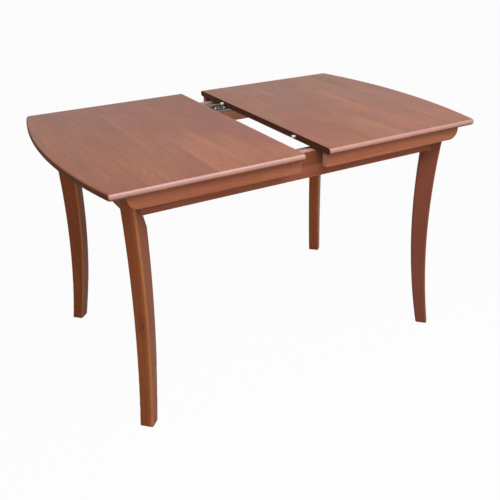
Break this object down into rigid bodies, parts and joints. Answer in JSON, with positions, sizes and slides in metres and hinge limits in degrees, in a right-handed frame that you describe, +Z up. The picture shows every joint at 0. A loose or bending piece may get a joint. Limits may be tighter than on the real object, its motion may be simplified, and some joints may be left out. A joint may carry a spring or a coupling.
{
  "type": "butterfly leaf table",
  "caption": "Dining table on curved legs whose bowed-end top draws apart on geared slides for a butterfly leaf that is folded and stored under one half.",
  "frame": {"origin": "on the floor under the middle of the table", "axes": "+X along the table to the right half, +Y from the front to the back, +Z up"},
  "size_m": [1.2808, 0.8, 0.75],
  "materials": {
    "top_wood": "satin reddish brown stain",
    "skirt_wood": "satin stain",
    "apron_wood": "satin stain",
    "leg_wood": "satin stain, warmer and darker",
    "inner_wood": "unfinished",
    "fastener_steel": "zinc plated",
    "nylon": "moulded",
    "rail_steel": "zinc plated",
    "dark_steel": "black oxide",
    "gear_steel": "bright",
    "pin_wood": "stained",
    "hinge_steel": "brass plated",
    "felt": "pressed felt"
  },
  "bodies": {
    "frame": {"apron_back": "apron_wood", "apron_front": "apron_wood", "apron_left": "apron_wood", "apron_right": "apron_wood", "bolt_nuts": "fastener_steel", "bolt_washers": "fastener_steel", "corner_block_back_left": "inner_wood", "corner_block_back_right": "inner_wood", "corner_block_front_left": "inner_wood", "corner_block_front_right": "inner_wood", "glide_pads": "nylon", "guard_posts": "dark_steel", "guard_screws": "fastener_steel", "hanger_bolts": "fastener_steel", "ledger_back": "inner_wood", "ledger_front": "inner_wood", "ledger_screws": "fastener_steel", "ledger_stops": "inner_wood", "leg_back_left": "leg_wood", "leg_back_right": "leg_wood", "leg_front_left": "leg_wood", "leg_front_right": "leg_wood", "pinion_axles": "dark_steel", "pinion_guard_back": "gear_steel", "pinion_guard_front": "gear_steel", "rail_back": "rail_steel", "rail_front": "rail_steel", "rail_screws": "fastener_steel"},
    "left_half": {"top_left": "top_wood", "skirt_front_left": "skirt_wood", "skirt_back_left": "skirt_wood", "runner_front_left": "rail_steel", "runner_back_left": "rail_steel", "rack_front_left": "dark_steel", "rack_back_left": "dark_steel", "brackets_left": "dark_steel", "bracket_screws_left": "fastener_steel"},
    "right_half": {"top_right": "top_wood", "skirt_front_right": "skirt_wood", "skirt_back_right": "skirt_wood", "runner_front_right": "rail_steel", "runner_back_right": "rail_steel", "rack_front_right": "dark_steel", "rack_back_right": "dark_steel", "brackets_right": "dark_steel", "bracket_screws_right": "fastener_steel", "alignment_pins": "pin_wood"},
    "front_pinion": {"pinion_front": "gear_steel"},
    "back_pinion": {"pinion_back": "gear_steel"},
    "leaf": {"leaf_wing_lower": "top_wood", "leaf_wing_upper": "top_wood", "hinge_leaves_lower": "hinge_steel", "hinge_leaves_upper": "hinge_steel", "hinge_pins": "hinge_steel", "hinge_screws": "fastener_steel", "leaf_pins": "pin_wood", "bearer_outer": "inner_wood", "bearer_inner": "inner_wood", "bearer_felts": "felt"}
  },
  "joints": [
    {"name": "left_top_slide", "type": "slide", "parent": "frame", "child": "left_half", "axis": [-1, 0, 0], "range_m": [-0.0405, 0.16]},
    {"name": "right_top_slide", "type": "slide", "parent": "frame", "child": "right_half", "axis": [1, 0, 0], "range_m": [-0.0405, 0.16]},
    {"name": "pinion_front_spin", "type": "hinge", "parent": "frame", "child": "front_pinion", "pos_m": [0.055, -0.2895, 0.70975], "axis": [0, 1, 0], "range_deg": [-1018.8, 258]},
    {"name": "pinion_back_spin", "type": "hinge", "parent": "frame", "child": "back_pinion", "pos_m": [0.055, 0.2895, 0.70975], "axis": [0, 1, 0], "range_deg": [-1018.8, 258]},
    {"name": "leaf_slide", "type": "slide", "parent": "frame", "child": "leaf", "axis": [1, 0, 0], "range_m": [0, 0.26]}
  ],
  "couplings": [
    {"joint": "right_top_slide", "follows": "left_top_slide", "ratio": 1},
    {"joint": "pinion_front_spin", "follows": "left_top_slide", "rad_per_m": -111.11},
    {"joint": "pinion_back_spin", "follows": "left_top_slide", "rad_per_m": -111.11}
  ]
}
